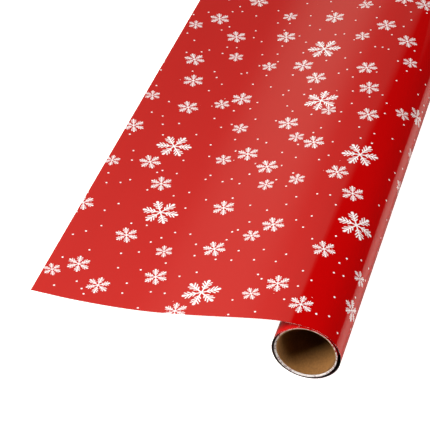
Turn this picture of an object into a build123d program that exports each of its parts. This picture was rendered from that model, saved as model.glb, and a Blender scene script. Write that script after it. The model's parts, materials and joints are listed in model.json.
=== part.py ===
from build123d import *
import math
import os

# A roll of wrapping paper with its first sheet pulled off over the top.
# +Y runs along the roll, +Z is up, and the sheet runs off towards -X.
# The origin is on the core's axis, half way along.

# The cardboard core, spiral wound from three plies of kraft paper.
core_bore_radius = 19.0
core_length = 698.0
ply_thickness = 0.25
ply_names = ("core_inner_ply", "core_middle_ply", "core_outer_ply")

# The paper that is still wound tight on the core: thirteen turns.
paper_width = 700.0
wound_turns = 13
paper_thickness = 0.08
core_outer_radius = core_bore_radius + ply_thickness * len(ply_names)
wound_radius = core_outer_radius + wound_turns * paper_thickness
wound_shift = -0.6

# The loose outer turn is a solid strip thicker than the paper.
strip_thickness = 0.25
strip_shift = 0.8

# The loose turn, as degrees round from the top and the radius of its outer face.
loose_turn = (
    (30, 21.56),
    (60, 22.5),
    (95, 23.4),
    (135, 23.15),
    (180, 22.6),
    (225, 22.95),
    (262, 22.8),
    (290, 21.8),
    (338, 21.4),
)

# The sheet's middle line, from the top of the roll down to its cut edge.
sheet_line = (
    (0.0, 21.4),
    (-14.0, 20.75),
    (-34.0, 15.75),
    (-66.0, 4.55),
    (-98.0, -6.05),
    (-132.0, -14.4),
    (-160.0, -19.25),
    (-187.0, -22.45),
)
first_fold = 8.0
panel_count = 16
fold_gap = 0.3

os.makedirs("parts", exist_ok=True)


# The far end plane of a piece of this width.
def across(shift, width):
    return Plane.XZ.offset(-shift - width / 2)


def keep(piece, name):
    piece.part.label = name
    export_step(piece.part, f"parts/{name}.step")


# Core plies, each a tube glued round the one before.
for index, name in enumerate(ply_names):
    with BuildPart() as ply:
        with BuildSketch(across(0, core_length)):
            Circle(core_bore_radius + (index + 1) * ply_thickness)
            Circle(core_bore_radius + index * ply_thickness, mode=Mode.SUBTRACT)
        extrude(amount=core_length)
    keep(ply, name)

# The tight winding.
with BuildPart() as wound_paper:
    with BuildSketch(across(wound_shift, paper_width)):
        Circle(wound_radius)
        Circle(core_outer_radius, mode=Mode.SUBTRACT)
    extrude(amount=paper_width)
keep(wound_paper, "wound_paper")

# The sheet's line, with a fold line every panel's length along it.
sheet = Spline(*[Vector(x, z) for x, z in sheet_line], tangents=[(-1, 0), (-1, -0.12)])
panel_length = (sheet.length - first_fold) / panel_count
folds = [
    sheet.position_at(first_fold + number * panel_length, position_mode=PositionMode.LENGTH)
    for number in range(panel_count + 1)
]


# The outer turn starts at the first fold, crosses the top and goes round the roll.
# These are the points along it, at this depth below its outer face.
def turn_face(depth):
    lead = sheet.position_at(0)
    start = folds[0] + Vector(-fold_gap / 2, 0)
    rise = strip_thickness / 2 - depth
    points = [start + Vector(fold_gap, rise), lead + Vector(0, rise)]
    for degrees, radius in loose_turn:
        points.append(Vector(0, radius - depth).rotate(Axis.Z, -degrees))
    return points


with BuildPart() as outer_turn:
    with BuildSketch(across(strip_shift, paper_width)):
        with BuildLine():
            outside = Spline(*turn_face(0))
            inside = Spline(*turn_face(strip_thickness))
            Line(outside @ 0, inside @ 0)
            Line(outside @ 1, inside @ 1)
        make_face()
    extrude(amount=paper_width)
keep(outer_turn, "outer_turn")

# The sheet's panels, from the roll out to the cut edge.
for number in range(panel_count):
    near = folds[number]
    far = folds[number + 1]
    slope = math.degrees(math.atan2(near.Y - far.Y, near.X - far.X))
    with BuildPart() as panel:
        with BuildSketch(across(strip_shift, paper_width)):
            with Locations(Location((near + far) / 2, slope)):
                Rectangle((far - near).length - fold_gap, paper_thickness)
        extrude(amount=paper_width)
    keep(panel, f"sheet_{number + 1:02d}")
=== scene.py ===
import json
import math

import bmesh
import bpy
import numpy as np
from mathutils import Matrix, Vector, kdtree


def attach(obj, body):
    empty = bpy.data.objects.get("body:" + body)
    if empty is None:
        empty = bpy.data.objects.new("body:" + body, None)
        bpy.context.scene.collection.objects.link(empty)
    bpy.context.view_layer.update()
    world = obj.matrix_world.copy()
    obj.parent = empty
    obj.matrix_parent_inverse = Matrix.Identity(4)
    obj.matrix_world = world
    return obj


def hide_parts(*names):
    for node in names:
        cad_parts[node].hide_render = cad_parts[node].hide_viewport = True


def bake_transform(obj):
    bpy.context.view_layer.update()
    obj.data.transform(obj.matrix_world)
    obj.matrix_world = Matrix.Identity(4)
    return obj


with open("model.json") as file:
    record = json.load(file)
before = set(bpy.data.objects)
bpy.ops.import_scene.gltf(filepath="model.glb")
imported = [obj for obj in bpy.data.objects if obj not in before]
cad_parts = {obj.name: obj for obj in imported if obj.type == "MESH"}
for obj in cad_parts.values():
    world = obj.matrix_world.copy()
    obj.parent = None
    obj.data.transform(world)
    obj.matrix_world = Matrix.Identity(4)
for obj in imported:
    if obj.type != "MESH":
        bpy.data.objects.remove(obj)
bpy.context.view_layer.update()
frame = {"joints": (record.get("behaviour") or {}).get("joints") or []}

scene = bpy.context.scene
mm = 0.001


def addNode(tree, kind, sockets=None, **settings):
    node = tree.nodes.new(kind)
    for key, value in settings.items():
        setattr(node, key, value)
    for key, value in (sockets or {}).items():
        if isinstance(value, bpy.types.NodeSocket):
            tree.links.new(value, node.inputs[key])
        else:
            node.inputs[key].default_value = value
    return node


def maths(tree, operation, first, second=0.0, third=0.0):
    node = addNode(tree, "ShaderNodeMath", {0: first, 1: second, 2: third}, operation=operation)
    return node.outputs[0]


def vectorMaths(tree, operation, sockets):
    return addNode(tree, "ShaderNodeVectorMath", sockets, operation=operation)


def blendColours(tree, share, first, second):
    sockets = {"Factor": share, 6: first, 7: second}   # 6 and 7 are the two colours
    return addNode(tree, "ShaderNodeMix", sockets, data_type="RGBA").outputs[2]


def addBump(tree, surface, height, strength, depth):
    bump = addNode(tree, "ShaderNodeBump", {"Strength": strength, "Distance": depth, "Height": height})
    tree.links.new(bump.outputs[0], surface.inputs["Normal"])


def newGroup(name, inputs, outputs):
    group = bpy.data.node_groups.new(name, "ShaderNodeTree")
    for title, kind, value in inputs:
        socket = group.interface.new_socket(title, in_out="INPUT", socket_type=kind)
        if value is not None:
            socket.default_value = value
    for title, kind in outputs:
        group.interface.new_socket(title, in_out="OUTPUT", socket_type=kind)
    given = group.nodes.new("NodeGroupInput").outputs
    result = group.nodes.new("NodeGroupOutput").inputs
    return group, given, result


def placeGroup(tree, group, sockets):
    return addNode(tree, "ShaderNodeGroup", sockets, node_tree=group).outputs


def newMaterial(name):
    material = bpy.data.materials.new(name)
    material.use_nodes = True
    tree = material.node_tree
    return material, tree, tree.nodes["Principled BSDF"]


# One repeat of the print. Each flake is its place along and across the web, in millimetres,
# and its turn in degrees.
snowPrint = {
    "repeatLength": 140.0,
    "repeatWidth": 400.0,
    "columns": 2,
    "lastRow": 4,
    "nextShift": 70.0,   # each column's start along the web, against the one before
    "creep": 0.14,       # how far the print wanders across the web after its first repeat
    "creepRise": 110.0,  # the wander grows from nothing at the near edge to its full share here
    "largeRadius": 13.0,
    "mediumRadius": 8.1,
    "smallRadius": 6.1,
    "neighbours": 5,
    "offFlake": (5.0, 5.0),  # the flake coordinates of plain paper
    "large": ((42, 181, -7), (57, 103, 2), (112, 23, 38), (137, 253, 33), (121, 328, -5)),
    "medium": (
        (5, 197, 10), (31, 158, 0), (47, 135, 14), (42, 73, 8), (21, 35, 20), (41, 18, 30),
        (76, 35, 12), (107, 69, 6), (100, 3, 22), (100, 115, 16), (1, 98, 9), (118, 166, 2),
        (99, 181, 18), (37, 232, 5), (119, 222, 13), (30, 268, 17), (22, 297, 1), (110, 303, 29),
        (125, 285, 6), (24, 361, 10), (118, 377, 23), (85, 345, 14), (45, 338, 9), (48, 396, 4),
        (74, 252, 24),
    ),
    "small": (
        (73, 62, 15), (129, 85, 2), (4, 151, 25), (6, 24, 3), (123, 144, 27), (83, 172, 11),
        (84, 213, 28), (130, 204, 24), (61, 242, 7), (53, 309, 21), (83, 300, 12), (6, 239, 15),
        (0, 397, 0), (80, 377, 28), (8, 346, 16),
    ),
}


def wandered(along, across):
    # the place across the web, with the print's wander
    past = max(0.0, along - snowPrint["repeatLength"])
    return across + snowPrint["creep"] * past * min(1.0, across / snowPrint["creepRise"])


def flakePlaces():
    # every flake on the web: place along, place across, radius and turn, in millimetres and degrees
    places = []
    for column in range(snowPrint["columns"]):
        for row in range(-column, snowPrint["lastRow"]):
            for size in ("large", "medium", "small"):
                for alongRepeat, acrossRepeat, turn in snowPrint[size]:
                    along = alongRepeat + row * snowPrint["repeatLength"] + column * snowPrint["nextShift"]
                    across = acrossRepeat + column * snowPrint["repeatWidth"]
                    places.append((along, wandered(along, across), snowPrint[size + "Radius"], turn))
    return places


flakes = flakePlaces()
flakeTree = kdtree.KDTree(len(flakes))
for number, flake in enumerate(flakes):
    flakeTree.insert((flake[0], flake[1], 0.0), number)
flakeTree.balance()


def nearestFlake(along, across):
    # of the closest few, the one that is nearest for its size
    near = flakeTree.find_n((along, across, 0.0), snowPrint["neighbours"])
    return flakes[min(near, key=lambda hit: hit[2] / flakes[hit[1]][2])[1]]


def printOnFaces(bm, paperMap, flakeMap):
    # each face gets the local coordinates of the flake that is nearest to it, in flake radii
    for face in bm.faces:
        middle = sum((loop[paperMap].uv for loop in face.loops), Vector((0, 0))) / len(face.loops)
        along, across, radius, turn = nearestFlake(middle.x / mm, middle.y / mm)
        cosine, sine = math.cos(math.radians(turn)), math.sin(math.radians(turn))
        for loop in face.loops:
            x = (loop[paperMap].uv.x / mm - along) / radius
            y = (loop[paperMap].uv.y / mm - across) / radius
            loop[flakeMap].uv = (x * cosine - y * sine, x * sine + y * cosine)


# A flake of radius one.
snowflake = {
    "arms": 6,
    "stemLength": 0.92,
    "stemWidth": 0.034,
    "tipStart": 0.86,
    "tipLength": 0.08,
    "tipWidth": 0.078,
    "branchWidth": 0.031,
    "branchAngle": 45.0,
    "branches": ((0.29, 0.22), (0.45, 0.33), (0.63, 0.31)),  # start and length
    "softness": 0.012,
}


def branchGroup():
    # how far a point is from one straight branch of a flake's arm
    group, given, result = newGroup(
        "flakeBranch",
        (("Place", "NodeSocketVector", None), ("Start", "NodeSocketFloat", 0.0),
         ("Direction", "NodeSocketVector", None), ("Length", "NodeSocketFloat", 1.0),
         ("Width", "NodeSocketFloat", 0.05)),
        (("Distance", "NodeSocketFloat"),),
    )
    start = addNode(group, "ShaderNodeCombineXYZ", {"X": given["Start"]}).outputs[0]
    fromStart = vectorMaths(group, "SUBTRACT", {0: given["Place"], 1: start}).outputs[0]
    reach = vectorMaths(group, "DOT_PRODUCT", {0: fromStart, 1: given["Direction"]}).outputs["Value"]
    reach = maths(group, "MAXIMUM", maths(group, "MINIMUM", reach, given["Length"]), 0.0)
    nearest = vectorMaths(group, "SCALE", {0: given["Direction"], "Scale": reach}).outputs[0]
    gap = vectorMaths(group, "SUBTRACT", {0: fromStart, 1: nearest}).outputs[0]
    distance = vectorMaths(group, "LENGTH", {0: gap}).outputs["Value"]
    group.links.new(maths(group, "SUBTRACT", distance, given["Width"]), result["Distance"])
    return group


def snowflakeGroup(branch):
    # white inside a six-armed flake of radius one
    group, given, result = newGroup(
        "snowflakeShape",
        (("Place", "NodeSocketVector", None),),
        (("White", "NodeSocketFloat"), ("Radius", "NodeSocketFloat")),
    )
    parts = addNode(group, "ShaderNodeSeparateXYZ", {0: given["Place"]}).outputs
    radius = vectorMaths(group, "LENGTH", {0: given["Place"]}).outputs["Value"]
    turn = maths(group, "ARCTAN2", parts["Y"], parts["X"])
    turn = maths(group, "PINGPONG", turn, math.pi / snowflake["arms"])
    onArm = addNode(group, "ShaderNodeCombineXYZ", {
        "X": maths(group, "MULTIPLY", radius, maths(group, "COSINE", turn)),
        "Y": maths(group, "MULTIPLY", radius, maths(group, "SINE", turn)),
    }).outputs[0]
    angle = math.radians(snowflake["branchAngle"])
    slant = (math.cos(angle), math.sin(angle), 0.0)
    lines = [
        (0.0, (1, 0, 0), snowflake["stemLength"], snowflake["stemWidth"]),
        (snowflake["tipStart"], (1, 0, 0), snowflake["tipLength"], snowflake["tipWidth"]),
    ]
    lines += [(start, slant, length, snowflake["branchWidth"]) for start, length in snowflake["branches"]]
    distances = [
        placeGroup(group, branch, {
            "Place": onArm, "Start": start, "Direction": direction, "Length": length, "Width": width,
        })["Distance"]
        for start, direction, length, width in lines
    ]
    nearest = distances[0]
    for distance in distances[1:]:
        nearest = maths(group, "MINIMUM", nearest, distance)
    white = addNode(group, "ShaderNodeMapRange", {
        "Value": nearest, "From Min": snowflake["softness"], "From Max": -snowflake["softness"],
    }).outputs[0]
    group.links.new(white, result["White"])
    group.links.new(radius, result["Radius"])
    return group


snowDots = {
    "spacing": 0.0165,
    "size": 0.0007,
    "randomness": 0.92,
    "softness": 0.1,
    "clearRadius": 1.25,   # no dot is nearer to a flake than this, in flake radii
}


def dotGroup():
    # small round dots scattered over the web, none of them on a flake
    group, given, result = newGroup(
        "snowDots",
        (("Place", "NodeSocketVector", None), ("Spacing", "NodeSocketFloat", snowDots["spacing"]),
         ("Dot Size", "NodeSocketFloat", snowDots["size"]), ("Flake Radius", "NodeSocketFloat", 2.0)),
        (("White", "NodeSocketFloat"),),
    )
    scale = maths(group, "DIVIDE", 1.0, given["Spacing"])
    cells = addNode(group, "ShaderNodeTexVoronoi", {
        "Vector": given["Place"], "Scale": scale, "Randomness": snowDots["randomness"],
    }, voronoi_dimensions="2D").outputs
    distance = maths(group, "DIVIDE", cells["Distance"], scale)
    white = addNode(group, "ShaderNodeMapRange", {
        "Value": maths(group, "DIVIDE", distance, given["Dot Size"]),
        "From Min": 1 + snowDots["softness"], "From Max": 1 - snowDots["softness"],
    }).outputs[0]
    clear = maths(group, "GREATER_THAN", given["Flake Radius"], snowDots["clearRadius"])
    group.links.new(maths(group, "MULTIPLY", white, clear), result["White"])
    return group


paperFibres = {
    "detail": 4.0,
    "roughness": 0.65,
}


def fibreGroup():
    # short paper fibres, as a value that changes over the surface
    group, given, result = newGroup(
        "paperFibres",
        (("Place", "NodeSocketVector", None), ("Stretch", "NodeSocketVector", (1.0, 1.0, 1.0)),
         ("Scale", "NodeSocketFloat", 900.0)),
        (("Value", "NodeSocketFloat"),),
    )
    stretched = vectorMaths(group, "MULTIPLY", {0: given["Place"], 1: given["Stretch"]}).outputs[0]
    fine = addNode(group, "ShaderNodeTexNoise", {
        "Vector": stretched, "Scale": given["Scale"],
        "Detail": paperFibres["detail"], "Roughness": paperFibres["roughness"],
    }).outputs["Fac"]
    group.links.new(fine, result["Value"])
    return group


redGloss = {
    "red": (0.49, 0.0004, 0.0006, 1.0),
    "white": (0.93, 0.91, 0.90, 1.0),
    "inkRoughness": 0.42,
    "inkGloss": 0.0,
    "coatWeight": 1.0,
    "coatRoughness": 0.035,
    "coatIor": 1.45,
    "waveDepth": 0.0003,
    "waveScale": 14.0,
    "waveDetail": 1.0,
    "waveStrength": 1.0,
}


def makeRedGloss(flakeShape, dots):
    material, tree, surface = newMaterial("redSnowflakeGloss")
    paper = addNode(tree, "ShaderNodeUVMap", uv_map="paper").outputs[0]
    flake = addNode(tree, "ShaderNodeUVMap", uv_map="flake").outputs[0]
    shape = placeGroup(tree, flakeShape, {"Place": flake})
    dot = placeGroup(tree, dots, {"Place": paper, "Flake Radius": shape["Radius"]})["White"]
    white = maths(tree, "MAXIMUM", shape["White"], dot)
    colour = blendColours(tree, white, redGloss["red"], redGloss["white"])
    tree.links.new(colour, surface.inputs["Base Color"])
    surface.inputs["Roughness"].default_value = redGloss["inkRoughness"]
    surface.inputs["Specular IOR Level"].default_value = redGloss["inkGloss"]
    surface.inputs["Coat IOR"].default_value = redGloss["coatIor"]
    surface.inputs["Coat Weight"].default_value = redGloss["coatWeight"]
    surface.inputs["Coat Roughness"].default_value = redGloss["coatRoughness"]
    place = addNode(tree, "ShaderNodeTexCoord").outputs["Object"]
    wave = addNode(tree, "ShaderNodeTexNoise", {
        "Vector": place, "Scale": redGloss["waveScale"], "Detail": redGloss["waveDetail"],
    }).outputs["Fac"]
    addBump(tree, surface, wave, redGloss["waveStrength"], redGloss["waveDepth"])
    return material


paperBack = {
    "white": ((0.66, 0.645, 0.635, 1), (0.80, 0.785, 0.775, 1)),   # darker and lighter fibres
    # painted shade: near-black fibres for the loose turn's inner face, where the gap to the winding lies
    # in shade
    "shaded": ((0.035, 0.03, 0.03, 1), (0.07, 0.06, 0.06, 1)),
    "fibreScale": 700.0,
    "roughness": 0.72,
    "bumpStrength": 0.5,
    "bumpDepth": 0.00004,
}


def makePaperBack(fibres, name, colours):
    material, tree, surface = newMaterial(name)
    place = addNode(tree, "ShaderNodeTexCoord").outputs["Object"]
    value = placeGroup(tree, fibres, {"Place": place, "Scale": paperBack["fibreScale"]})["Value"]
    tree.links.new(blendColours(tree, value, *colours), surface.inputs["Base Color"])
    surface.inputs["Roughness"].default_value = paperBack["roughness"]
    addBump(tree, surface, value, paperBack["bumpStrength"], paperBack["bumpDepth"])
    return material


cutEdge = {
    "paper": (0.70, 0.66, 0.62, 1.0),
    "ink": (0.16, 0.004, 0.006, 1.0),
    "speckScale": 800.0,
    "speckDetail": 2.0,
    "speckShare": (0.53, 0.57),
    "roughness": 0.8,
    "bumpStrength": 0.5,
    "bumpDepth": 0.00005,
}


def makeCutEdge():
    # the paper's cut edges: white, with specks where the ink shows
    material, tree, surface = newMaterial("cutPaperEdge")
    place = addNode(tree, "ShaderNodeTexCoord").outputs["Object"]
    noise = addNode(tree, "ShaderNodeTexNoise", {
        "Vector": place, "Scale": cutEdge["speckScale"], "Detail": cutEdge["speckDetail"],
    }).outputs["Fac"]
    ink = addNode(tree, "ShaderNodeMapRange", {
        "Value": noise, "From Min": cutEdge["speckShare"][0], "From Max": cutEdge["speckShare"][1],
    }).outputs[0]
    colour = blendColours(tree, ink, cutEdge["paper"], cutEdge["ink"])
    tree.links.new(colour, surface.inputs["Base Color"])
    surface.inputs["Roughness"].default_value = cutEdge["roughness"]
    addBump(tree, surface, noise, cutEdge["bumpStrength"], cutEdge["bumpDepth"])
    return material


kraft = {
    "dark": (0.165, 0.064, 0.011, 1.0),
    "light": (0.275, 0.120, 0.023, 1.0),
    "seam": (0.09, 0.045, 0.02, 1),
    "seamShade": 0.6,
    "seamPitch": 0.105,
    "seamWidth": 0.012,
    "fibreStretch": (1.0, 0.6, 1.0),
    "fibreScale": 900.0,
    "fibreShare": 0.75,
    "blotchScale": 60.0,
    "blotchDetail": 3.0,
    "blotchShare": 0.25,
    "contrast": (0.32, 0.68),
    "roughness": 0.78,
    "bumpStrength": 0.6,
    "bumpDepth": 0.0001,
}


def spiralSeam(tree, place, ply):
    # one along the line where a ply's strip meets its next turn, a third of a turn on for each ply
    parts = addNode(tree, "ShaderNodeSeparateXYZ", {0: place}).outputs
    turn = maths(tree, "DIVIDE", maths(tree, "ARCTAN2", parts["X"], parts["Z"]), 2 * math.pi)
    pitches = maths(tree, "DIVIDE", parts["Y"], kraft["seamPitch"])
    spiral = maths(tree, "FRACT", maths(tree, "ADD", turn, pitches))
    fromSeam = maths(tree, "PINGPONG", maths(tree, "ADD", spiral, ply / 3), 0.5)
    return maths(tree, "LESS_THAN", fromSeam, kraft["seamWidth"])


def makeKraft(fibres, ply):
    material, tree, surface = newMaterial(f"kraftBoard{ply}")
    place = addNode(tree, "ShaderNodeTexCoord").outputs["Object"]
    fibre = placeGroup(tree, fibres, {
        "Place": place, "Stretch": kraft["fibreStretch"], "Scale": kraft["fibreScale"],
    })["Value"]
    blotch = addNode(tree, "ShaderNodeTexNoise", {
        "Vector": place, "Scale": kraft["blotchScale"], "Detail": kraft["blotchDetail"],
    }).outputs["Fac"]
    blotch = maths(tree, "MULTIPLY", blotch, kraft["blotchShare"])
    fleck = addNode(tree, "ShaderNodeMapRange", {
        "Value": maths(tree, "MULTIPLY_ADD", fibre, kraft["fibreShare"], blotch),
        "From Min": kraft["contrast"][0], "From Max": kraft["contrast"][1],
    }).outputs[0]
    seam = spiralSeam(tree, place, ply)
    board = blendColours(tree, fleck, kraft["dark"], kraft["light"])
    colour = blendColours(tree, maths(tree, "MULTIPLY", seam, kraft["seamShade"]), board, kraft["seam"])
    tree.links.new(colour, surface.inputs["Base Color"])
    surface.inputs["Roughness"].default_value = kraft["roughness"]
    addBump(tree, surface, maths(tree, "SUBTRACT", fibre, seam), kraft["bumpStrength"], kraft["bumpDepth"])
    return material


branch = branchGroup()
flakeShape = snowflakeGroup(branch)
fibres = fibreGroup()
redFace = makeRedGloss(flakeShape, dotGroup())
whiteBack = makePaperBack(fibres, "whitePaperBack", paperBack["white"])
paintedShadeBack = makePaperBack(fibres, "paintedShadePaperBack", paperBack["shaded"])   # painted shade: a near-black back for the loose turn's inner face in the narrow gap
paperEdge = makeCutEdge()
print("materials made")

# The web runs from the cut edge up the folds, over the crown and round the loose turn. The ends
# of the sheet are x and z, and the loose turn is degrees round from the top with a radius.
web = {
    "cutEdge": (-187.0, -22.45),
    "crown": (0.0, 21.4),
    "looseTurn": ((30, 21.435), (60, 22.375), (95, 23.275), (135, 23.025), (180, 22.475),
                  (225, 22.825), (262, 22.675), (290, 21.675), (338, 21.275)),
    "width": 700.0,
    "nearEdge": -349.2,
    "thickness": 0.08,
    "cellLength": 1.5,
    "cellWidth": 3.5,
    "seamLoop": 0.05,
    "sharpAngle": 50.0,
    "crownSeam": 5.8,   # from the first fold to the seam on the crown
}


def roundTheRoll(degrees, radius):
    return radius * math.sin(math.radians(degrees)), radius * math.cos(math.radians(degrees))


def lineThrough(knots, steps=40):
    # a smooth line through the knots, which bends evenly from one to the next
    knots = np.array(knots)
    gaps = np.linalg.norm(np.diff(knots, axis=0), axis=1)
    count = len(knots)
    system, pull = np.eye(count), np.zeros((count, 2))
    system[0, :2] = 2, 1
    system[-1, -2:] = 1, 2
    pull[0] = 3 * (knots[1] - knots[0]) / gaps[0]
    pull[-1] = 3 * (knots[-1] - knots[-2]) / gaps[-1]
    for i in range(1, count - 1):
        before, after = gaps[i - 1], gaps[i]
        system[i, i - 1:i + 2] = after, 2 * (before + after), before
        onward, back = knots[i + 1] - knots[i], knots[i] - knots[i - 1]
        pull[i] = 3 * (before * onward / after + after * back / before)
    slopes = np.linalg.solve(system, pull)

    def at(place):
        i = min(int(place), count - 2)
        t, gap = place - i, gaps[i]
        return ((2 * t**3 - 3 * t**2 + 1) * knots[i] + (t**3 - 2 * t**2 + t) * gap * slopes[i]
                + (3 * t**2 - 2 * t**3) * knots[i + 1] + (t**3 - t**2) * gap * slopes[i + 1])

    places = np.linspace(0, count - 1, (count - 1) * steps + 1)
    points = np.array([at(place) for place in places])
    lengths = np.concatenate(([0], np.cumsum(np.linalg.norm(np.diff(points, axis=0), axis=1))))
    return (lambda length: at(np.interp(length, lengths, places))), lengths[::steps]


bends = [joint for joint in frame["joints"] if joint["name"].startswith("sheet_bend")]
bends.sort(key=lambda joint: joint["name"])
foldPoints = [(bend["pos_m"][0] / mm, bend["pos_m"][2] / mm) for bend in bends]
webKnots = [web["cutEdge"]] + foldPoints[::-1] + [web["crown"]]
webKnots += [roundTheRoll(*turn) for turn in web["looseTurn"]]
webPoint, knotLengths = lineThrough(webKnots)
foldLengths = list(knotLengths[1:len(bends) + 1])[::-1]   # from the cut edge, fold 1 first
webLength = knotLengths[-1]
print("web is", round(webLength, 1), "mm long, crown at", round(knotLengths[len(bends) + 1], 2))


def finishPiece(bm, name, materials, body=None, nodes=()):
    mesh = bpy.data.meshes.new(name)
    bm.to_mesh(mesh)
    bm.free()
    piece = bpy.data.objects.new(name, mesh)
    scene.collection.objects.link(piece)
    for material in materials:
        mesh.materials.append(material)
    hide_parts(*nodes)
    if body:
        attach(piece, body)
    return piece


def markSharpEdges(bm, printed, sharpAngle):
    for edge in bm.edges:
        onPrint = {face in printed for face in edge.link_faces}
        edge.smooth = len(onPrint) == 1
        if edge.is_manifold and edge.calc_face_angle(0.0) > math.radians(sharpAngle):
            edge.smooth = False


def paperStrip(stops, point, nearEdge, rows, thickness, stagger=None, flakesOn=True):
    # A strip of paper along a line. Its materials are the printed face, the back and the cut edges.
    bm = bmesh.new()
    paperMap, flakeMap = bm.loops.layers.uv.new("paper"), bm.loops.layers.uv.new("flake")
    bmesh.ops.create_grid(bm, x_segments=len(stops) - 1, y_segments=rows, size=0.5)
    cells = {}
    for vert in bm.verts:
        length = stops[round((vert.co.x + 0.5) * (len(stops) - 1))]
        across = (vert.co.y + 0.5) * web["width"]
        cells[vert] = (length, across)
    for vert, (length, across) in cells.items():
        x, z = point(length)
        y = nearEdge + across + (stagger(length) if stagger else 0.0)
        vert.co = Vector((x, y, z)) * mm
    for face in bm.faces:
        for loop in face.loops:
            loop[paperMap].uv = Vector(cells[loop.vert]) * mm
            loop[flakeMap].uv = snowPrint["offFlake"]
    if flakesOn:
        printOnFaces(bm, paperMap, flakeMap)
    bm.normal_update()
    inner = bm.faces[:]
    normals = {vert: vert.normal.copy() for vert in bm.verts}
    for vert, normal in normals.items():
        vert.co -= normal * thickness * mm / 2
    sheet = bm.verts[:] + bm.edges[:] + inner
    grown = bmesh.ops.extrude_face_region(bm, geom=sheet, use_keep_orig=True)["geom"]
    outerVerts = [item for item in grown if isinstance(item, bmesh.types.BMVert)]
    outerFaces = {item for item in grown if isinstance(item, bmesh.types.BMFace)}
    bmesh.ops.reverse_faces(bm, faces=inner)
    bm.normal_update()
    outward = {}
    for vert in outerVerts:
        faces = [face for face in vert.link_faces if face in outerFaces]
        outward[vert] = sum((face.normal * face.calc_area() for face in faces), Vector()).normalized()
    for vert, normal in outward.items():
        vert.co += normal * thickness * mm
    innerFaces = set(inner)
    for face in bm.faces:
        face.material_index = 0 if face in outerFaces else 1 if face in innerFaces else 2
        face.smooth = True
    bm.normal_update()
    markSharpEdges(bm, outerFaces, web["sharpAngle"])
    return bm


def evenStops(first, last):
    # lengths from one seam to the next, with a narrow loop at each end so that the shading runs on
    count = max(4, round((last - first) / web["cellLength"]))
    inner = np.linspace(first, last, count + 1)
    return [first, first + web["seamLoop"], *inner[1:-1], last - web["seamLoop"], last]


def bodyPoint(length):
    x, z = webPoint(length)
    return Vector((x, 0.0, z)) * mm


def makeSheet():
    # the free sheet, with one piece across each fold
    seams = [foldLengths[0] + web["crownSeam"]]
    seams += [(a + b) / 2 for a, b in zip(foldLengths, foldLengths[1:])] + [0.0]
    rows = round(web["width"] / web["cellWidth"])
    for number, (upper, lower) in enumerate(zip(seams, seams[1:]), start=1):
        bm = paperStrip(evenStops(lower, upper), webPoint, web["nearEdge"], rows, web["thickness"])
        piece = finishPiece(bm, f"freeSheet{number:02d}", (redFace, whiteBack, paperEdge),
                            nodes=[f"sheet_{number:02d}"])
        ending = lower if lower > 0 else 2 * foldLengths[-1] - upper
        bodyPoint(upper)
        bodyPoint(ending)
        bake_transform(piece)
    print("sheet laid in", len(bends), "pieces")
    return seams[0]


crownSeam = makeSheet()


def makeOuterTurn():
    # the loose turn, which lies round the roll and runs on into the sheet
    rows = round(web["width"] / web["cellWidth"])
    stops = evenStops(crownSeam, webLength)
    bm = paperStrip(stops, webPoint, web["nearEdge"], rows, web["thickness"])
    # the loose turn's back is painted shade: a near-black paper back in the gap to the winding
    piece = finishPiece(bm, "looseTurn", (redFace, paintedShadeBack, paperEdge), "outer_turn", ["outer_turn"])
    print("loose turn laid")


makeOuterTurn()

winding = {
    "coreRadius": 19.75,
    "turns": 13,
    "pitch": 0.08,
    "thickness": 0.07,
    "endAngle": 338.0,
    "nearEdge": -349.9,
    "turnSegments": 120,
    "rows": 4,
    "standOut": 0.5,     # how far the outer turns' edges stand out of the inner ones
    "wander": 0.12,
    "wanderRates": (5.1, 2.3),
    "wanderStart": 1.0,
}


def windingPoint(turn):
    radius = winding["coreRadius"] + winding["pitch"] * (turn + 0.5)
    radius = min(radius, winding["coreRadius"] + winding["pitch"] * (winding["turns"] - 0.5))
    return roundTheRoll(winding["endAngle"] + 360 * (winding["turns"] - turn), radius)


def windingEdge(turn):
    share = turn / winding["turns"]
    quick, slow = winding["wanderRates"]
    wander = math.sin(turn * quick) + math.sin(turn * slow + winding["wanderStart"])
    return winding["standOut"] * (1 - share) + winding["wander"] * wander / 2


def makeWinding():
    steps = winding["turns"] * winding["turnSegments"]
    stops = [winding["turns"] * step / steps for step in range(steps + 1)]
    bm = paperStrip([winding["turns"] - stop for stop in stops], windingPoint, winding["nearEdge"],
                    winding["rows"], winding["thickness"], windingEdge, flakesOn=False)
    piece = finishPiece(bm, "tightWinding", (redFace, whiteBack, paperEdge), "roll", ["wound_paper"])


makeWinding()

core = {
    "boreRadius": 19.0,
    "plyThickness": 0.25,
    "length": 698.0,
    "segments": 192,
    "sharpAngle": 40.0,
    "plies": (   # each ply's piece and its node, from the bore out
        ("innerPly", "core_inner_ply"), ("middlePly", "core_middle_ply"), ("outerPly", "core_outer_ply"),
    ),
}


def plyTube(inner, outer, half):
    # the ply's wall in section, spun round the roll's axis
    bm = bmesh.new()
    section = ((inner, -half), (outer, -half), (outer, half), (inner, half))
    corners = [bm.verts.new(Vector((radius, y, 0)) * mm) for radius, y in section]
    for corner, following in zip(corners, corners[1:] + corners[:1]):
        bm.edges.new((corner, following))
    bmesh.ops.spin(bm, geom=bm.verts[:] + bm.edges[:], cent=(0, 0, 0), axis=(0, 1, 0),
                   angle=2 * math.pi, steps=core["segments"], use_merge=True)
    bmesh.ops.recalc_face_normals(bm, faces=bm.faces[:])
    for face in bm.faces:
        face.smooth = True
    for edge in bm.edges:
        edge.smooth = edge.calc_face_angle(0.0) < math.radians(core["sharpAngle"])
    return bm


def makeCore():
    for number, (name, node) in enumerate(core["plies"]):
        inner = core["boreRadius"] + number * core["plyThickness"]
        bm = plyTube(inner, inner + core["plyThickness"], core["length"] / 2)
        finishPiece(bm, name, (makeKraft(fibres, number),), "roll", [node])
    print("core wound")


makeCore()

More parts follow.
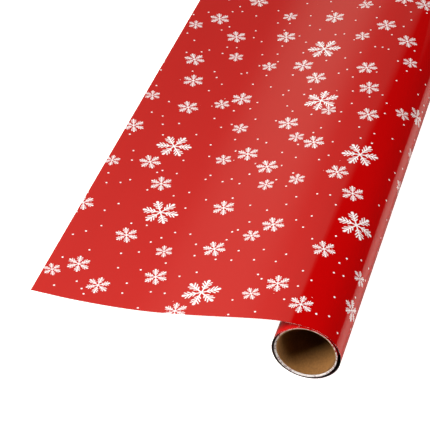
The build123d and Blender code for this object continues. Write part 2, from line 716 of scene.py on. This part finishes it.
studio = {
    "floorHeight": -22.6,
    "floorSize": 6.0,
    "floorRoughness": 0.9,
    "floorWhite": (0.70, 0.69, 0.60, 1.0),
    "floorGlow": 0.05,
    "seenGlow": 1.0,     # the extra glow that only the camera sees
    "surround": 0.02,
}


def glowForCamera(tree, strength, steady):
    # a steady glow, and the extra glow that only the camera sees
    seen = addNode(tree, "ShaderNodeLightPath").outputs["Is Camera Ray"]
    tree.links.new(maths(tree, "MULTIPLY_ADD", seen, studio["seenGlow"], steady), strength)


def makeFloor():
    bm = bmesh.new()
    bmesh.ops.create_grid(bm, x_segments=1, y_segments=1, size=studio["floorSize"])
    bmesh.ops.translate(bm, verts=bm.verts[:], vec=(0, 0, studio["floorHeight"] * mm))
    mesh = bpy.data.meshes.new("studioFloor")
    bm.to_mesh(mesh)
    bm.free()
    floor = bpy.data.objects.new("studioFloor", mesh)
    scene.collection.objects.link(floor)
    material, tree, surface = newMaterial("whiteFloor")
    surface.inputs["Base Color"].default_value = studio["floorWhite"]
    surface.inputs["Roughness"].default_value = studio["floorRoughness"]
    surface.inputs["Emission Color"].default_value = (1, 1, 1, 1)
    glowForCamera(tree, surface.inputs["Emission Strength"], studio["floorGlow"])
    mesh.materials.append(material)


def makeSurround():
    world = bpy.data.worlds.new("studioSurround")
    world.use_nodes = True
    tree = world.node_tree
    background = tree.nodes["Background"]
    background.inputs["Color"].default_value = (1, 1, 1, 1)
    glowForCamera(tree, background.inputs["Strength"], studio["surround"])
    scene.world = world


# Each soft box has its middle, the way it faces, its size and its power.
softBoxes = {
    "keyBox": {"at": (-1.25, -1.15, 1.1), "facing": (0.68, 0.6, -0.6), "size": (1.0, 0.75), "power": 55.0},
    "topBox": {"at": (-0.1, -0.6, 2.0), "facing": (0.0, 0.2, -1.0), "size": (1.2, 1.2), "power": 3.5},
    "rightBox": {"at": (1.5, -0.5, 0.3), "facing": (-1.0, 0.1, -0.12), "size": (0.8, 0.6), "power": 19.0},
}


# Cards of light that fade, for the gloss. The back card fades towards its foot and its right side,
# the band is brightest along its middle and towards its foot, and the fill lights the far end.
# Brightness is from foot to top, and lean is in degrees.
fadingCards = {
    "backCard": {
        "at": (-1.052, 2.0, 1.353), "lean": -30.5, "size": (1.46, 2.4), "brightness": (0.28, 0.79),
        "fade": (0.3, 0.98), "sides": "right", "sideFade": 0.14,
    },
    "bandCard": {
        "at": (-1.382, 1.98, 1.114), "lean": -41.4, "size": (0.62, 1.7), "brightness": (0.62, 0.24),
        "fade": (0.235, 0.82), "sides": "both", "sideFade": 0.5,
    },
    "fillCard": {
        "at": (0.1, 1.7, 0.55), "lean": 0.0, "size": (1.3, 1.0), "brightness": (2.2, 0.1),
        "fade": (0.2, 1.0), "sides": "both", "sideFade": 0.35,
    },
}
cardFacing = (0, -1, 0)
cardColour = (1.0, 1.0, 0.8)


def fadeCard(light, card):
    light.use_nodes = True
    tree = light.node_tree
    place = addNode(tree, "ShaderNodeNewGeometry").outputs["Parametric"]
    parts = addNode(tree, "ShaderNodeSeparateXYZ", {0: place}).outputs
    up = addNode(tree, "ShaderNodeMapRange", {
        "Value": parts["Y"], "From Min": card["fade"][0], "From Max": card["fade"][1],
        "To Min": card["brightness"][0], "To Max": card["brightness"][1],
    }, interpolation_type="SMOOTHSTEP").outputs[0]
    inside = maths(tree, "PINGPONG", parts["X"], 0.5) if card["sides"] == "both" else parts["X"]
    side = addNode(tree, "ShaderNodeMapRange", {"Value": inside, "From Max": card["sideFade"]},
                   interpolation_type="SMOOTHSTEP").outputs[0]
    tree.links.new(maths(tree, "MULTIPLY", up, side), tree.nodes["Emission"].inputs["Strength"])


def aimed(facing, lean):
    # looking along facing, leaned over by this many degrees
    turn = Vector(facing).to_track_quat("-Z", "Y").to_matrix()
    return (turn @ Matrix.Rotation(math.radians(lean), 3, "Z")).to_4x4()


def placeLamp(name, at, facing, size, power, lean=0.0):
    light = bpy.data.lights.new(name, "AREA")
    light.shape = "RECTANGLE"
    light.size, light.size_y = size
    light.energy = power
    lamp = bpy.data.objects.new(name, light)
    lamp.matrix_world = Matrix.Translation(at) @ aimed(facing, lean)
    scene.collection.objects.link(lamp)
    return light


def makeLights():
    for name, box in softBoxes.items():
        placeLamp(name, box["at"], box["facing"], box["size"], box["power"])
    for name, card in fadingCards.items():
        power = math.pi * card["size"][0] * card["size"][1]   # so that the brightness is the card's own
        light = placeLamp(name, card["at"], cardFacing, card["size"], power, card["lean"])
        light.color = cardColour
        fadeCard(light, card)


camera = {
    "at": (0.051904, -1.086671, 0.732867),
    "heading": (-0.12797, 0.74687, -0.65254),
    "tilt": 10.77,
    "lens": 135.63,
    "sensor": 36.0,
    "clip": (0.05, 50.0),
}


def makeCamera():
    data = bpy.data.cameras.new("shopCamera")
    data.sensor_width = camera["sensor"]
    data.lens = camera["lens"]
    data.clip_start, data.clip_end = camera["clip"]
    shopCamera = bpy.data.objects.new("shopCamera", data)
    shopCamera.matrix_world = Matrix.Translation(camera["at"]) @ aimed(camera["heading"], camera["tilt"])
    scene.collection.objects.link(shopCamera)
    scene.camera = shopCamera


makeFloor()
makeSurround()
makeLights()
makeCamera()
scene.view_settings.view_transform = "Standard"
print("studio set")
